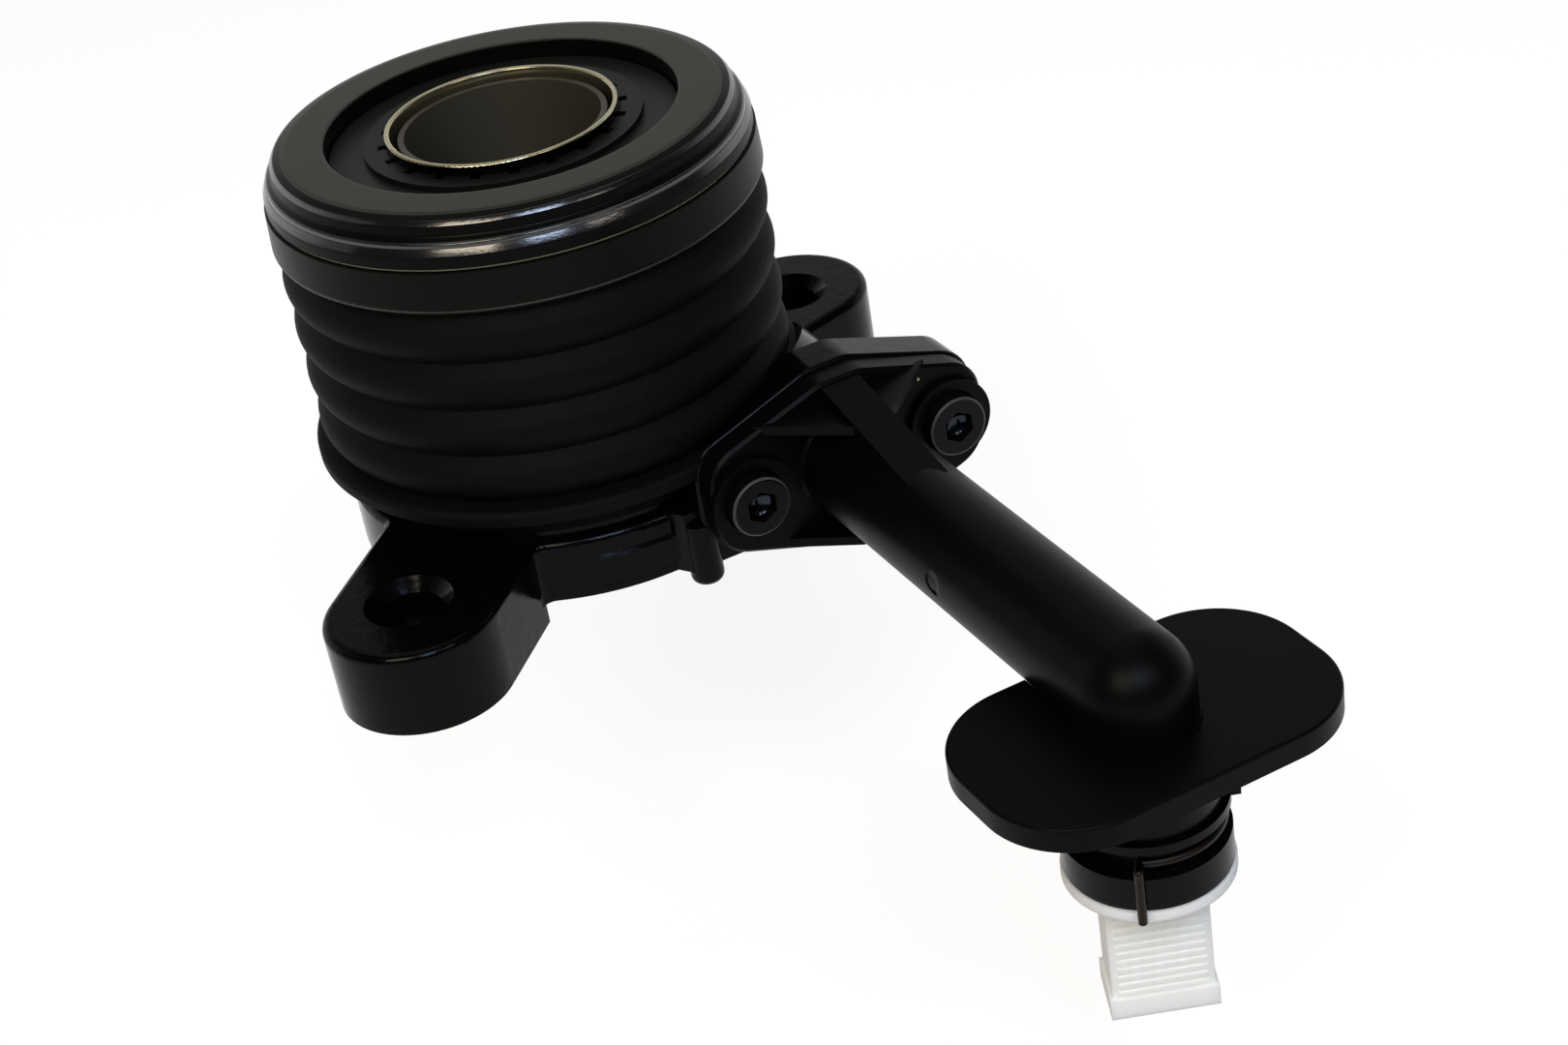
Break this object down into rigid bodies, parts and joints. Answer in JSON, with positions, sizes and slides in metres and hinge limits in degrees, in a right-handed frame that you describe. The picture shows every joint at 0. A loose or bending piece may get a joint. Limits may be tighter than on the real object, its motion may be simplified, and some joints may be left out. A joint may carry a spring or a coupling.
{
  "type": "concentric clutch slave cylinder",
  "caption": "Concentric hydraulic clutch release cylinder with dust boot, thrust bearing, bolted inlet pipe, elbow and plugged line socket.",
  "frame": {"origin": "on the bearing axis, in the plane of the undersides of the two mounting ears", "axes": "+Z along the bearing axis, from the ears towards the face that meets the clutch fingers; +X along the inlet pipe, away from the cylinder"},
  "size_m": [0.1521, 0.1019, 0.0926],
  "materials": {
    "black_casting": "glossy black paint on a casting",
    "black_steel": "black oxide, satin",
    "bright_steel": "turned, bright",
    "bearing_steel": "ground",
    "piston_aluminium": "turned",
    "boot_rubber": "matt black",
    "seal_rubber": "smooth black",
    "black_nylon": "matt, glass filled",
    "cage_nylon": "natural",
    "spring_wire": "drawn wire",
    "clear_plug": "milky, let light through"
  },
  "bodies": {
    "cylinder": {"housing": "black_casting", "guide_sleeve": "bright_steel", "sleeve_seal": "seal_rubber", "dust_boot": "boot_rubber", "preload_spring": "bright_steel", "inlet_pipe": "black_nylon", "port_seal": "seal_rubber", "flange_bushings": "black_steel", "flange_screws": "black_steel", "closing_plate": "black_nylon", "socket_body": "black_nylon", "socket_seal": "seal_rubber", "wire_clip": "spring_wire"},
    "release_bearing": {"piston": "piston_aluminium", "piston_seal": "seal_rubber", "spring_cup": "black_steel", "bearing_carrier": "bright_steel", "bearing_inner_ring": "bearing_steel", "retaining_washer": "bearing_steel", "bearing_seal": "seal_rubber"},
    "contact": {"contact_ring": "black_steel"},
    "cage": {"ball_cage": "cage_nylon", "balls": "bearing_steel"},
    "plug": {"transport_plug": "clear_plug"}
  },
  "joints": [
    {"name": "piston_stroke", "type": "slide", "parent": "cylinder", "child": "release_bearing", "axis": [0, 0, 1], "range_m": [-0.012, 0], "stiffness_N_per_m": 2500, "springref_m": 0.03, "deforming": ["dust_boot", "preload_spring"]},
    {"name": "contact_spin", "type": "hinge", "parent": "release_bearing", "child": "contact", "pos_m": [0, 0, 0.0546], "axis": [0, 0, 1], "continuous": true},
    {"name": "cage_spin", "type": "hinge", "parent": "release_bearing", "child": "cage", "pos_m": [0, 0, 0.0546], "axis": [0, 0, 1], "continuous": true},
    {"name": "plug_pull", "type": "slide", "parent": "cylinder", "child": "plug", "axis": [0, 0, -1], "range_m": [0, 0.03]}
  ],
  "couplings": [
    {"joint": "cage_spin", "follows": "contact_spin", "ratio": 0.533}
  ]
}
